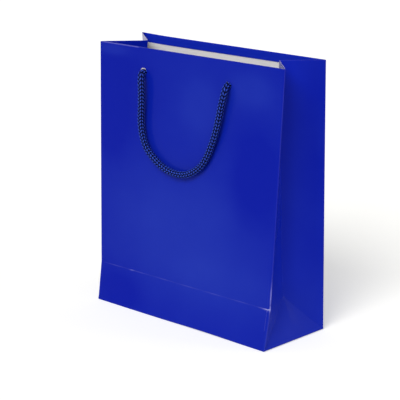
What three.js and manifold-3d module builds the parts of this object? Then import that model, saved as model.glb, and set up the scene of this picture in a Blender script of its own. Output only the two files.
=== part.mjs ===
// Laminated paper carrier bag with cord handles, standing with its mouth ajar.
// One sheet is folded into front, back, two gussets and a base; boards stiffen its rim and its base.
// Millimetres, +Z up, origin under the middle of the base, front panel towards -Y.
import * as THREE from "three";
import { mergeVertices } from "three/addons/utils/BufferGeometryUtils.js";
import Module from "manifold-3d";

const wasm = await Module();
wasm.setup();

// The folded sheet
const PANEL_WIDTH = 250;
const GUSSET_DEPTH = 100;
const RIM_HEIGHT = 300;
const PAPER = 0.3;
const HEM_DEPTH = 10; // top edge turned in all round
const LAP_WIDTH = 15; // glued lap inside the back panel that closes the sheet into a tube
const BASE_CREASE_HEIGHT = 45; // crease across the front, level with the apexes of the gussets
const BASE_FLAP_DEPTH = 70; // front and back base flaps, which overlap under the middle
const BASE_LAYERS = 3; // end flaps, then back flap, then front flap outermost

// The stance of the opened bag: how far the walls lean in, and the twist of the mouth over the base
const CREASE_SET_BACK = 6;
const FRONT_RIM_SET_BACK = 10;
const BACK_RIM_SET_BACK = 16;
const MOUTH_TWIST = THREE.MathUtils.degToRad(4.3);

// The stiffening boards
const RIM_BOARD_HEIGHT = 45;
const RIM_BOARD_THICKNESS = 0.8;
const RIM_BOARD_END_GAP = 6;
const BASE_BOARD_THICKNESS = 0.8;
const BASE_BOARD_EDGE_GAP = 3;
const CLEARANCE = 0.3;

// The handles
const CORD_DIAMETER = 7.2;
const HOLE_PLAY = 1.6;
const HOLE_PITCH = 115;
const HOLE_SHIFT = -4.3; // both holes sit a little left of the panel's middle
const HOLE_DROP = 26.5; // below the rim
const KNOT_DIAMETER = 22;
const KNOT_LENGTH = 15;
const TAIL_LENGTH = 4; // cord left beyond its knot

// The loop of cord below its holes: place across the panel (-1 and 1 are the holes), fall below the
// holes, and gap between the cord and the panel
const LOOP = [
  [-0.995, 1.7, 0.2],
  [-0.975, 5.5, 2.6],
  [-0.957, 11.5, 3.8],
  [-0.947, 20.5, 3.8],
  [-0.95, 36.5, 3.4],
  [-0.96, 52.5, 2.8],
  [-0.94, 63.5, 2.6],
  [-0.888, 74.5, 2.2],
  [-0.81, 83, 1.8],
  [-0.647, 92, 1.4],
  [-0.457, 99, 1.1],
  [-0.25, 103, 1],
  [-0.052, 104.2, 1],
  [0.141, 102.8, 1],
  [0.331, 98, 1],
  [0.517, 89.5, 1.2],
  [0.67, 76, 1.6],
  [0.75, 65.5, 2.2],
  [0.815, 56, 2.6],
  [0.86, 47, 3],
  [0.91, 35.5, 3.4],
  [0.957, 22, 3.8],
  [0.995, 12, 3.8],
  [1.01, 5.5, 2.6],
  [1.005, 1.7, 0.2],
];

// Facets
const PANEL_STEPS = 10;
const GUSSET_STEPS = 2;
const BASE_BAND_STEPS = 3;
const WALL_STEPS = 8;
const BOARD_STEPS = 3;
const HOLE_SIDES = 24;
const CORD_SIDES = 10;
const CORD_STEPS = 64;
const KNOT_SIDES = 14;
const KNOT_RINGS = 8;
const CUT_MARGIN = 1;

const halfWidth = PANEL_WIDTH / 2;
const halfDepth = GUSSET_DEPTH / 2;
const cordRadius = CORD_DIAMETER / 2;
const holeRadius = (CORD_DIAMETER + HOLE_PLAY) / 2;
const holeHeight = RIM_HEIGHT - HOLE_DROP;
const holePlaces = [-1, 1];
const floorTop = BASE_LAYERS * PAPER;
const boardPocket = CLEARANCE + RIM_BOARD_THICKNESS + CLEARANCE;
const boardInnerFace = PAPER + CLEARANCE + RIM_BOARD_THICKNESS;

const upAxis = new THREE.Vector3(0, 0, 1);
const lerp = THREE.MathUtils.lerp;

// Front and back walls in plan, as y at a height
function frontLine(z) {
  const crease = -halfDepth + CREASE_SET_BACK;
  const rim = -halfDepth + FRONT_RIM_SET_BACK;
  if (z < BASE_CREASE_HEIGHT) return lerp(-halfDepth, crease, z / BASE_CREASE_HEIGHT);
  return lerp(crease, rim, (z - BASE_CREASE_HEIGHT) / (RIM_HEIGHT - BASE_CREASE_HEIGHT));
}

function backLine(z) {
  return lerp(halfDepth, halfDepth - BACK_RIM_SET_BACK, z / RIM_HEIGHT);
}

// The fold down the middle of a gusset: its two halves keep their width, so it moves in as the walls close
function gussetFold(z) {
  const opening = backLine(z) - frontLine(z);
  const inward = Math.sqrt(halfDepth ** 2 - (opening / 2) ** 2);
  return new THREE.Vector2(halfWidth - inward, frontLine(z) + opening / 2);
}

// A point of the straight bag, carried round by the twist that grows towards the mouth
function twisted(x, y, z) {
  return new THREE.Vector3(x, y, z).applyAxisAngle(upAxis, (MOUTH_TWIST * z) / RIM_HEIGHT);
}

// Corners of the tube at a height, anticlockwise from the front left. A gusset has two fold points:
// they leave the bottom corners along the mitre folds, meet at the apex and go up as one fold.
function cornersAt(z) {
  const foldFront = new THREE.Vector2(halfWidth, -halfDepth);
  const foldBack = new THREE.Vector2(halfWidth, halfDepth);
  const towardsApex = Math.min(z / BASE_CREASE_HEIGHT, 1);
  const fold = gussetFold(Math.max(z, BASE_CREASE_HEIGHT));
  foldFront.lerp(fold, towardsApex);
  foldBack.lerp(fold, towardsApex);
  const right = [
    new THREE.Vector2(halfWidth, frontLine(z)),
    foldFront,
    foldBack,
    new THREE.Vector2(halfWidth, backLine(z)),
  ];
  const left = right.map((corner) => new THREE.Vector2(-corner.x, corner.y)).reverse();
  return [left[3], ...right, ...left.slice(0, 3)];
}

// Corners moved inwards by each side's own distance. Sides that have no length are passed over.
function insetCorners(corners, insets) {
  const count = corners.length;
  const sides = corners.map((corner, i) => {
    const along = corners[(i + 1) % count].clone().sub(corner);
    const length = along.length();
    const inward = new THREE.Vector2(-along.y, along.x).divideScalar(length || 1);
    return { length, inward, inset: insets[i] };
  });
  const realSide = (start, step) => {
    let i = start;
    while (sides[i].length < 1e-6) i = (i + step + count) % count;
    return sides[i];
  };
  return corners.map((corner, i) => {
    const before = realSide((i + count - 1) % count, -1);
    const after = realSide(i, 1);
    const cosine = before.inward.dot(after.inward);
    const shift = new THREE.Vector2();
    if (before.inset === after.inset) {
      shift.add(before.inward).add(after.inward).multiplyScalar(before.inset / (1 + cosine));
    } else {
      const sineSquared = 1 - cosine ** 2;
      shift.addScaledVector(before.inward, (before.inset - cosine * after.inset) / sineSquared);
      shift.addScaledVector(after.inward, (after.inset - cosine * before.inset) / sineSquared);
    }
    return corner.clone().add(shift);
  });
}

// One ring of points round the tube at a height, set in from its outer face
function ringAt(z, panelInset, gussetInset) {
  const gusset = [gussetInset, gussetInset, gussetInset];
  const corners = insetCorners(cornersAt(z), [panelInset, ...gusset, panelInset, ...gusset]);
  const gussetSteps = [GUSSET_STEPS, GUSSET_STEPS, GUSSET_STEPS];
  const steps = [PANEL_STEPS, ...gussetSteps, PANEL_STEPS, ...gussetSteps];
  return corners.flatMap((corner, i) => {
    const next = corners[(i + 1) % corners.length];
    return Array.from({ length: steps[i] }, (_, step) => {
      const point = corner.clone().lerp(next, step / steps[i]);
      return twisted(point.x, point.y, z);
    });
  });
}

// A closed surface through rings of equal count, with a fan over the first and the last. The quads keep
// one diagonal whether the rings go up or down, so that the two faces of a wall bend alike.
function loft(rings) {
  const count = rings[0].length;
  const points = rings.flat();
  const faces = [];
  for (let ring = 0; ring + 1 < rings.length; ring++) {
    const goesDown = rings[ring + 1][0].z < rings[ring][0].z;
    for (let i = 0; i < count; i++) {
      const a = ring * count + i;
      const b = ring * count + ((i + 1) % count);
      if (goesDown) faces.push(a, b, a + count, b, b + count, a + count);
      else faces.push(a, b, b + count, a, b + count, a + count);
    }
  }
  const lastRing = (rings.length - 1) * count;
  const middleOf = (ring) =>
    ring.reduce((sum, point) => sum.add(point), new THREE.Vector3()).divideScalar(count);
  const firstMiddle = points.push(middleOf(rings[0])) - 1;
  const lastMiddle = points.push(middleOf(rings.at(-1))) - 1;
  for (let i = 0; i < count; i++) {
    const next = (i + 1) % count;
    faces.push(firstMiddle, next, i);
    faces.push(lastMiddle, lastRing + i, lastRing + next);
  }
  return new THREE.BufferGeometry().setFromPoints(points).setIndex(faces);
}

// A closed geometry as a solid: shared corners merged, and triangles that have collapsed left out
function solidFrom(geometry) {
  const bare = new THREE.BufferGeometry();
  bare.setAttribute("position", geometry.getAttribute("position"));
  bare.setIndex(geometry.index);
  const merged = mergeVertices(bare, 1e-4);
  const corners = merged.index.array;
  const triangles = [];
  for (let i = 0; i < corners.length; i += 3) {
    const [a, b, c] = corners.slice(i, i + 3);
    if (a !== b && b !== c && c !== a) triangles.push(a, b, c);
  }
  const mesh = new wasm.Mesh({
    numProp: 3,
    vertProperties: merged.getAttribute("position").array,
    triVerts: new Uint32Array(triangles),
  });
  return new wasm.Manifold(mesh);
}

function geometryFrom(solid) {
  const mesh = solid.getMesh();
  const geometry = new THREE.BufferGeometry();
  geometry.setAttribute("position", new THREE.BufferAttribute(mesh.vertProperties, mesh.numProp));
  geometry.setIndex(new THREE.BufferAttribute(mesh.triVerts, 1));
  geometry.computeVertexNormals();
  return geometry;
}

const levels = (from, to, steps) =>
  Array.from({ length: steps + 1 }, (_, i) => lerp(from, to, i / steps));

// A point at a distance outside one of the two large panels
function onPanel(panel, across, z, outside) {
  const y = panel === "front" ? frontLine(z) - outside : backLine(z) + outside;
  return twisted(across, y, z);
}

// A flat strip that follows the inside of a panel between two depths
function panelStrip(panel, fromAcross, toAcross, fromZ, toZ, nearDepth, farDepth) {
  const depths = panel === "front" ? [nearDepth, farDepth] : [farDepth, nearDepth];
  const across = levels(fromAcross, toAcross, PANEL_STEPS);
  return loft(
    levels(fromZ, toZ, BOARD_STEPS).map((z) => [
      ...across.map((u) => onPanel(panel, u, z, -depths[0])),
      ...across.toReversed().map((u) => onPanel(panel, u, z, -depths[1])),
    ]),
  );
}

const holeAcross = (place) => HOLE_SHIFT + (place * HOLE_PITCH) / 2;

// The two punched holes of a panel, square to it, as solids to cut with
function holeCutters(panel) {
  return holePlaces.map((place) => {
    const reach = boardInnerFace + CUT_MARGIN;
    const start = onPanel(panel, holeAcross(place), holeHeight, -reach);
    const end = onPanel(panel, holeAcross(place), holeHeight, CUT_MARGIN);
    const axis = end.clone().sub(start);
    const punch = new THREE.CylinderGeometry(holeRadius, holeRadius, axis.length(), HOLE_SIDES);
    const turn = new THREE.Quaternion().setFromUnitVectors(
      new THREE.Vector3(0, 1, 0),
      axis.clone().normalize(),
    );
    punch.applyQuaternion(turn);
    punch.translate(...start.add(end).divideScalar(2));
    return solidFrom(punch);
  });
}

// Steps left under the base where fewer layers of folded flap lie over each other
function baseSteps() {
  const outX = halfWidth + CUT_MARGIN;
  const outY = halfDepth + CUT_MARGIN;
  const flapEdgeY = -halfDepth + BASE_FLAP_DEPTH;
  const flapEdgeX = halfWidth - BASE_FLAP_DEPTH;
  const endX = halfWidth - halfDepth;
  const step = (outline, layers) => {
    const shape = new THREE.Shape(outline.map(([x, y]) => new THREE.Vector2(x, y)));
    const depth = CUT_MARGIN + layers * PAPER;
    const cut = new THREE.ExtrudeGeometry(shape, { depth, bevelEnabled: false });
    return solidFrom(cut.translate(0, 0, -CUT_MARGIN));
  };
  const ends = [-1, 1].map((end) =>
    step(
      [
        [end * outX, -outY],
        [end * outX, outY],
        [end * endX, 0],
      ],
      2,
    ),
  );
  const backFlap = step(
    [
      [-outX, outY],
      [-endX, 0],
      [-flapEdgeX, flapEdgeY],
      [flapEdgeX, flapEdgeY],
      [endX, 0],
      [outX, outY],
    ],
    1,
  );
  return [...ends, backFlap];
}

// The sheet: up the outside, over the rim, down the turned-in hem, up its pocket and down the inside
function sheet() {
  const hemPanel = PAPER + boardPocket + PAPER;
  const hemGusset = PAPER + CLEARANCE + PAPER;
  const bandLevels = levels(0, BASE_CREASE_HEIGHT, BASE_BAND_STEPS);
  const wallLevels = levels(BASE_CREASE_HEIGHT, RIM_HEIGHT, WALL_STEPS);
  const outerLevels = [...bandLevels, ...wallLevels.slice(1)];
  const innerLevels = [floorTop, ...outerLevels.slice(1, -1), RIM_HEIGHT - PAPER].reverse();
  const walls = loft([
    ...outerLevels.map((z) => ringAt(z, 0, 0)),
    ringAt(RIM_HEIGHT, hemPanel, hemGusset),
    ringAt(RIM_HEIGHT - HEM_DEPTH, hemPanel, hemGusset),
    ringAt(RIM_HEIGHT - HEM_DEPTH, hemPanel - PAPER, hemGusset - PAPER),
    ringAt(RIM_HEIGHT - PAPER, hemPanel - PAPER, hemGusset - PAPER),
    ...innerLevels.map((z) => ringAt(z, PAPER, PAPER)),
  ]);
  const lapStart = halfWidth - LAP_WIDTH;
  const lapEnd = halfWidth + CUT_MARGIN;
  const lapTop = RIM_HEIGHT - RIM_BOARD_HEIGHT - CUT_MARGIN;
  const strip = panelStrip("back", lapStart, lapEnd, floorTop - PAPER, lapTop, 0, 2 * PAPER);
  const midWall = loft(outerLevels.map((z) => ringAt(z, PAPER / 2, PAPER / 2)));
  const lap = solidFrom(strip).intersect(solidFrom(midWall));
  const cuts = [...holeCutters("front"), ...holeCutters("back"), ...baseSteps()];
  const folded = solidFrom(walls).add(lap);
  return geometryFrom(cuts.reduce((solid, cut) => solid.subtract(cut), folded));
}

// A board glued inside a panel with its top edge under the hem, punched with the panel
function rimBoard(panel) {
  const half = halfWidth - RIM_BOARD_END_GAP;
  const top = RIM_HEIGHT - PAPER - CLEARANCE;
  const bottom = RIM_HEIGHT - RIM_BOARD_HEIGHT;
  const strip = panelStrip(panel, -half, half, bottom, top, PAPER + CLEARANCE, boardInnerFace);
  return geometryFrom(holeCutters(panel).reduce((solid, cut) => solid.subtract(cut), solidFrom(strip)));
}

// A loose board laid in the base, clear of the walls that lean in over it
function baseBoard() {
  const length = PANEL_WIDTH - 2 * BASE_BOARD_EDGE_GAP;
  const width = GUSSET_DEPTH - 2 * BASE_BOARD_EDGE_GAP;
  return new THREE.BoxGeometry(length, width, BASE_BOARD_THICKNESS);
}

// A cord that hangs outside a panel, goes in through its two holes and is knotted behind the board
function handleCord(panel) {
  const knotFace = boardInnerFace + CLEARANCE;
  const end = (place, outside) => onPanel(panel, holeAcross(place), holeHeight, outside);
  const through = (place) =>
    [knotFace + KNOT_LENGTH + TAIL_LENGTH, knotFace + KNOT_LENGTH / 2, knotFace, 0].map((depth) =>
      end(place, -depth),
    );
  const loop = LOOP.map(([place, fall, gap]) =>
    onPanel(panel, holeAcross(place), holeHeight - fall, cordRadius + gap),
  );
  const points = [...through(-1), ...loop, ...through(1).reverse()];
  const section = new THREE.Shape().absarc(0, 0, cordRadius, 0, 2 * Math.PI);
  const cord = new THREE.ExtrudeGeometry(section, {
    steps: CORD_STEPS,
    curveSegments: CORD_SIDES / 2,
    extrudePath: new THREE.CatmullRomCurve3(points),
  });
  const knots = holePlaces.map((place) => {
    const profile = levels(0, Math.PI, KNOT_RINGS).map(
      (angle) =>
        new THREE.Vector2(
          (Math.sin(angle) * KNOT_DIAMETER) / 2,
          (-Math.cos(angle) * KNOT_LENGTH) / 2,
        ),
    );
    const knot = new THREE.LatheGeometry(profile, KNOT_SIDES);
    const middle = end(place, -knotFace - KNOT_LENGTH / 2);
    return solidFrom(knot.translate(...middle));
  });
  return geometryFrom(knots.reduce((solid, knot) => solid.add(knot), solidFrom(cord)));
}

const laminatedPaper = new THREE.MeshStandardMaterial({ color: 0x1a2ca4, roughness: 0.28, metalness: 0 });
const rawBoard = new THREE.MeshStandardMaterial({ color: 0xcfc8c8, roughness: 0.85, metalness: 0 });
const braidedCord = new THREE.MeshStandardMaterial({ color: 0x141a55, roughness: 0.6, metalness: 0 });

const bag = new THREE.Group();

function addPiece(name, geometry, material) {
  const piece = new THREE.Mesh(geometry, material);
  piece.name = name;
  bag.add(piece);
  return piece;
}

addPiece("folded_sheet", sheet(), laminatedPaper);
addPiece("front_rim_board", rimBoard("front"), rawBoard);
addPiece("back_rim_board", rimBoard("back"), rawBoard);
const looseBoard = addPiece("base_board", baseBoard(), rawBoard);
looseBoard.position.z = floorTop + CLEARANCE + BASE_BOARD_THICKNESS / 2;
addPiece("front_handle_cord", handleCord("front"), braidedCord);
addPiece("back_handle_cord", handleCord("back"), braidedCord);

export default bag;
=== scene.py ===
import math

import bpy
import numpy as np
from mathutils import Matrix, Vector, noise


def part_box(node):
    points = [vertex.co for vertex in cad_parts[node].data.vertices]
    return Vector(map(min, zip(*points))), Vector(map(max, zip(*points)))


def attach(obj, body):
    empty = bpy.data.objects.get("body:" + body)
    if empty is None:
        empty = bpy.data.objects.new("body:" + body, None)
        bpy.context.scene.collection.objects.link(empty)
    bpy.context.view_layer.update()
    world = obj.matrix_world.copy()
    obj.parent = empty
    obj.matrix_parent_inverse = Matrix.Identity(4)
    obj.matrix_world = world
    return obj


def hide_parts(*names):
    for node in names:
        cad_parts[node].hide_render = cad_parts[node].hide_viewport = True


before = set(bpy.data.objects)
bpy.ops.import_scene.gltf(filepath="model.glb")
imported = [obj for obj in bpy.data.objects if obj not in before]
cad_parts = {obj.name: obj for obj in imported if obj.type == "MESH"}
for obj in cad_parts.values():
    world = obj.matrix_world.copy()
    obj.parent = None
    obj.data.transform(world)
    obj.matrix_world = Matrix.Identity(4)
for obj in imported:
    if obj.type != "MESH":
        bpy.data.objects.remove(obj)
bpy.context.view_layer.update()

# The folded sheet. One sheet of white paper, printed blue and covered with clear gloss film, is folded
# into two panels, two gussets and a base of glued flaps. Its top edge is turned in as a hem over the
# rim boards, and a lap glued inside the back panel closes it into a tube.
PANEL_WIDTH = 0.250
GUSSET_DEPTH = 0.100
RIM_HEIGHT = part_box("folded_sheet")[1].z
PAPER = 0.0003
HEM_DEPTH = 0.010
LAP_WIDTH = 0.015
BASE_CREASE = 0.045
BASE_FLAP = 0.070
CREASE_SET_BACK = 0.006
FRONT_RIM_SET_BACK = 0.010
BACK_RIM_SET_BACK = 0.016
MOUTH_TWIST = math.radians(4.3)
HEM_OVER_BOARD = 0.0020
HEM_OVER_PAPER = 0.0009
FOLD_RADIUS = 0.00020
FOLD_REACH = (0.0003, 0.0012)
FOLD_STEPS = 7
FLAP_LAYERS = {"front": 0.0, "back": 0.00035, "end": 0.0007}
HOLE_RADIUS = 0.0044
HOLE_HEIGHT = RIM_HEIGHT - 0.0265
HOLE_PLACES = (-0.0618, 0.0532)
PUNCH_LENGTH = 0.012
PUNCH_SIDES = 40
BAND_ROWS = 12
RIDGE_HEIGHT = 0.0016
RIDGE_ROUND = 0.7
PANEL_SLACK = 0.0009
SLACK_ROUND = 0.7
SLACK_PACE_ACROSS, SLACK_PACE_UP, SLACK_SLICE = 9, 7, 0.3
EDGE_LIFT = 0.0009
LIFT_MIDDLE = 0.035
LIFT_SPREAD = 0.05
LIFT_FADE = 0.024
BACK_LEFT_EASE = (-0.0026, 0.0006, 0.0006)
LEFT_FOLD_EASE = (0.0020, 0.0012, 0.0)
EASE_FOOT = 0.20
EASE_REACH = 0.022
LAP_FOOT = 0.003
LAP_TOP_GAP = 0.047
LAP_EDGE_GAP = 0.0016
LAP_EDGE_LEAN = 0.0012
LAP_INSIDE = 2.2 * PAPER
CLOSE_GRID = np.array([-9, -6, -4, -2, 0, 2, 4, 6, 9]) * 0.001  # mesh lines round a hole
WORN_LINE = 0.1207  # pale line in the film beside the front panel's right edge
# The print's blue, and the paler blue of the painted sheen that the painted patches and the random mottle mix
# into it
PRINT_BLUE = (0.0008, 0.0095, 0.365, 1)
PAINTED_SHEEN_BLUE = (0.0130, 0.0340, 0.43, 1)
# Painted light: the lighter blue put on the film beside the right gusset's fold and on the back panel's hem
PAINTED_LIGHT_BLUE = (0.0075, 0.0260, 0.520, 1)
# Lavender of rubbed film, also the colour of painted highlights and a painted reflection on the film
RUB_AND_GLINT_FILM = (0.25, 0.25, 0.66, 1)
BARE_PAPER = (0.74, 0.70, 0.705, 1)
CUT_PAPER = (0.80, 0.77, 0.76, 1)
TORN_PAPER = (0.60, 0.56, 0.55, 1)

half_width, half_depth = PANEL_WIDTH / 2, GUSSET_DEPTH / 2


def front_line(z):
    walls = [-half_depth, -half_depth + CREASE_SET_BACK, -half_depth + FRONT_RIM_SET_BACK]
    return np.interp(z, [0, BASE_CREASE, RIM_HEIGHT], walls)


def back_line(z):
    return np.interp(z, [0, RIM_HEIGHT], [half_depth, half_depth - BACK_RIM_SET_BACK])


def twisted(points):
    """Points of the straight bag, carried round by the twist that grows towards the mouth."""
    points = np.asarray(points, float)
    turn = MOUTH_TWIST * points[:, 2] / RIM_HEIGHT
    x = points[:, 0] * np.cos(turn) - points[:, 1] * np.sin(turn)
    y = points[:, 0] * np.sin(turn) + points[:, 1] * np.cos(turn)
    return np.stack([x, y, points[:, 2]], axis=1)


def corners_at(z):
    """Corners of the tube at a height, from the front left round to the left gusset's fold points.
    The halves of a gusset keep their width, so its fold moves in as the panels close."""
    top = max(z, BASE_CREASE)
    opening = back_line(top) - front_line(top)
    inward = math.sqrt(half_depth**2 - (opening / 2) ** 2)
    fold = np.array([half_width - inward, front_line(top) + opening / 2])
    share = min(z / BASE_CREASE, 1)
    right = [
        np.array([half_width, front_line(z)]),
        np.array([half_width, -half_depth]) * (1 - share) + fold * share,
        np.array([half_width, half_depth]) * (1 - share) + fold * share,
        np.array([half_width, back_line(z)]),
    ]
    left = [corner * (-1, 1) for corner in reversed(right)]
    return np.array([left[3], *right, *left[:3]])


def set_in(corners, insets):
    """The corners moved inwards by each side's own distance, past sides that have no length."""
    count = len(corners)
    along = np.roll(corners, -1, axis=0) - corners
    lengths = np.linalg.norm(along, axis=1)
    real = [i for i in range(count) if lengths[i] > 1e-9]
    moved = corners.copy()
    for i in range(count):
        after = next(k % count for k in range(i, i + count) if k % count in real)
        before = next(k % count for k in range(i - 1, i - count, -1) if k % count in real)
        normals = [np.array([-along[k][1], along[k][0]]) / lengths[k] for k in (before, after)]
        (ax, ay), (bx, by) = normals
        if abs(ax * by - ay * bx) < 1e-6:
            moved[i] += normals[0] * insets[before]
        else:
            moved[i] += np.linalg.solve(np.array(normals), [insets[before], insets[after]])
    return moved


def on_line(line, share):
    """The points at shares of a folded line's length."""
    steps = np.linalg.norm(np.diff(line, axis=0), axis=1)
    marks = np.concatenate([[0], np.cumsum(steps)]) / steps.sum()
    return np.stack([np.interp(share, marks, line[:, axis]) for axis in (0, 1)], axis=-1)


def soft_fold(corner, before, after):
    """A fold of small radius at a corner, between the directions of two points beside it."""
    towards = [(point - corner) / np.linalg.norm(point - corner) for point in (before, after)]
    half = math.acos(np.clip(towards[0] @ towards[1], -1, 1)) / 2
    reach = np.clip(FOLD_RADIUS * math.cos(half) / math.sin(half) ** 2, *FOLD_REACH)
    start, end = corner + towards[0] * reach, corner + towards[1] * reach
    t = np.linspace(0, 1, FOLD_STEPS)[:, None]
    return (1 - t) ** 2 * start + 2 * t * (1 - t) * corner + t**2 * end


# Columns across a panel, closer together round the holes and beside the worn right edge
PANEL_COLUMNS, COLUMN_END_GAP = 40, 0.006
WORN_LINE_HALF = 0.0005
panel_columns = np.unique(
    np.round(
        np.concatenate(
            [
                np.linspace(COLUMN_END_GAP - half_width, half_width - COLUMN_END_GAP, PANEL_COLUMNS),
                *[place + CLOSE_GRID for place in HOLE_PLACES],
                [WORN_LINE - WORN_LINE_HALF, WORN_LINE, WORN_LINE + WORN_LINE_HALF],
            ]
        ),
        4,
    )
)
panel_shares = panel_columns / PANEL_WIDTH + 0.5
gusset_shares = np.arange(1, BAND_ROWS) / (2 * BAND_ROWS)
BESIDE = 0.03  # share of a panel or a gusset that gives its direction beside a fold


def ring_at(z, panel_inset, gusset_inset):
    """The points round the tube at a height, as pairs across the plan."""
    insets = [panel_inset, *[gusset_inset] * 3, panel_inset, *[gusset_inset] * 3]
    corners = set_in(corners_at(z), insets)
    front, right, back, left = (corners[side] for side in ([0, 1], [1, 2, 3, 4], [4, 5], [5, 6, 7, 0]))
    ring = []
    for side, last in ((front, left), (right, front), (back, right), (left, back)):
        ring.append(soft_fold(side[0], on_line(last, 1 - BESIDE), on_line(side, BESIDE)))
        if side is front:
            ring.append(on_line(side, panel_shares))
        elif side is back:
            ring.append(on_line(side, 1 - panel_shares[::-1]))
        else:
            fold = soft_fold(on_line(side, 0.5), on_line(side, 0.5 - BESIDE), on_line(side, 0.5 + BESIDE))
            ring += [on_line(side, gusset_shares), fold, on_line(side, 1 - gusset_shares[::-1])]
    return np.concatenate(ring)


# What each column of the ring belongs to
panel_count, gusset_count = len(panel_shares), len(gusset_shares)
column_side = np.concatenate(
    [
        np.repeat(side, count)
        for side, count in (
            ("edge_fl", FOLD_STEPS), ("front", panel_count),
            ("edge_fr", FOLD_STEPS), ("right", gusset_count), ("fold_r", FOLD_STEPS), ("right", gusset_count),
            ("edge_br", FOLD_STEPS), ("back", panel_count),
            ("edge_bl", FOLD_STEPS), ("left", gusset_count), ("fold_l", FOLD_STEPS), ("left", gusset_count),
        )
    ]
)
column_count = len(column_side)
end_columns = np.isin(column_side, ["right", "fold_r", "left", "fold_l"])
layer = np.zeros(column_count)
layer[column_side == "back"] = FLAP_LAYERS["back"]
layer[end_columns] = FLAP_LAYERS["end"]
for edge, flap, next_flap in (
    ("edge_fl", "end", "front"), ("edge_fr", "front", "end"),
    ("edge_br", "end", "back"), ("edge_bl", "back", "end"),
):
    layer[column_side == edge] = np.linspace(FLAP_LAYERS[flap], FLAP_LAYERS[next_flap], FOLD_STEPS)


def flap_ring(depth, rise):
    """The points of the base flaps at a depth in from the base's edges, mitred at its corners."""
    plan = ring_at(0, 0, 0)
    shrunk = plan * [(half_width - depth) / half_width, (half_depth - depth) / half_depth]
    long_flap = np.isin(column_side, ["front", "back", "edge_fl", "edge_fr", "edge_br", "edge_bl"])
    past = np.where(plan[:, 1] < 0, -half_depth + depth, half_depth - depth)
    y = np.where(long_flap, past, shrunk[:, 1])
    return np.stack([shrunk[:, 0], y, layer + rise], axis=1)


def panel_slack(x, z):
    """How far a large panel stands off its plane: slightly slack in the middle, held at its edges."""
    height = min(max(z / RIM_HEIGHT, 0), 1)
    hold = math.cos(math.pi * x / PANEL_WIDTH) * math.sin(math.pi * height) ** SLACK_ROUND
    wave = noise.noise(Vector((x * SLACK_PACE_ACROSS, z * SLACK_PACE_UP, SLACK_SLICE)))
    return PANEL_SLACK * hold * wave


def bell(value, middle, spread):
    """1 at the middle, falling smoothly to nothing about two spreads away."""
    return math.exp(-(((value - middle) / spread) ** 2))


def edge_lift(x, away):
    """How far the middle of the front base edge stands off the floor, fading away from that edge."""
    return EDGE_LIFT * bell(x, LIFT_MIDDLE, LIFT_SPREAD) * max(0, 1 - away / LIFT_FADE)


# Rows of the sheet from the edge of the base flaps outwards, then round the base's fold and up the walls
FLAP_ROWS, LAST_FLAP_ROW = 12, 0.004
rows = []
for depth in np.linspace(BASE_FLAP, LAST_FLAP_ROW, FLAP_ROWS):
    rows.append(("flap", flap_ring(depth, 0)))
BASE_TURN = ((0.0009, 0), (0.0003, 0.0001), (0.0001, 0.0003), (0, 0.0009))
for depth, rise in BASE_TURN:
    rows.append(("flap" if rise == 0 else "turn", flap_ring(depth, rise)))

WALL_ROWS, CREASE_WIDTH = 36, 0.0008
ABOVE_CREASE, BELOW_RIM = 0.005, 0.002
wall_levels = np.unique(
    np.round(
        np.concatenate(
            [
                BASE_CREASE * np.arange(1, BAND_ROWS + 1) / BAND_ROWS,
                [BASE_CREASE + CREASE_WIDTH],
                np.linspace(BASE_CREASE + ABOVE_CREASE, RIM_HEIGHT - BELOW_RIM, WALL_ROWS),
                HOLE_HEIGHT + CLOSE_GRID,
            ]
        ),
        5,
    )
)
for z in wall_levels:
    plan = ring_at(z, 0, 0)
    points = np.column_stack([plan, np.full(column_count, z)])
    for side, out in (("front", -1), ("back", 1)):
        for i in np.flatnonzero(column_side == side):
            points[i, 1] += out * panel_slack(points[i, 0], z)
    # The flat triangle under a gusset's fold keeps the trace of that fold as a low ridge, steeper behind
    if z < BASE_CREASE:
        height = RIDGE_HEIGHT * math.sin(math.pi * z / BASE_CREASE) ** RIDGE_ROUND
        spread = int((1 - z / BASE_CREASE) * BAND_ROWS)
        for fold, outward in (("fold_r", 1), ("fold_l", -1)):
            middle = np.flatnonzero(column_side == fold)
            for i in range(middle[0] - spread, middle[-1] + spread + 1):
                behind = outward * (min(i - middle[0], 0) + max(i - middle[-1], 0)) / (spread + 1)
                slope = 1 + behind if behind < 0 else 1 - 2 * behind
                points[i, 0] += outward * height * max(0, slope)
    rows.append(("wall", points))

# Over the rim: up the outer face, across the top edge and down the hem
RIM_PROFILE = (
    (0, 0.0007), (0.06, 0.0003), (0.2, 0.0001), (0.4, 0),
    (0.6, 0), (0.8, 0.0001), (0.94, 0.0003), (1, 0.0007),
)
OUTER_RIM_ROWS = 5  # rows of the profile before it turns down inside
HEM_ROWS, HEM_START = 5, 0.0015
for share, drop in RIM_PROFILE:
    z = RIM_HEIGHT - drop
    plan = ring_at(z, HEM_OVER_BOARD * share, HEM_OVER_PAPER * share)
    rows.append(("rim", np.column_stack([plan, np.full(column_count, z)])))
for z in np.linspace(RIM_HEIGHT - HEM_START, RIM_HEIGHT - HEM_DEPTH, HEM_ROWS):
    plan = ring_at(z, HEM_OVER_BOARD, HEM_OVER_PAPER)
    rows.append(("hem", np.column_stack([plan, np.full(column_count, z)])))

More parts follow.
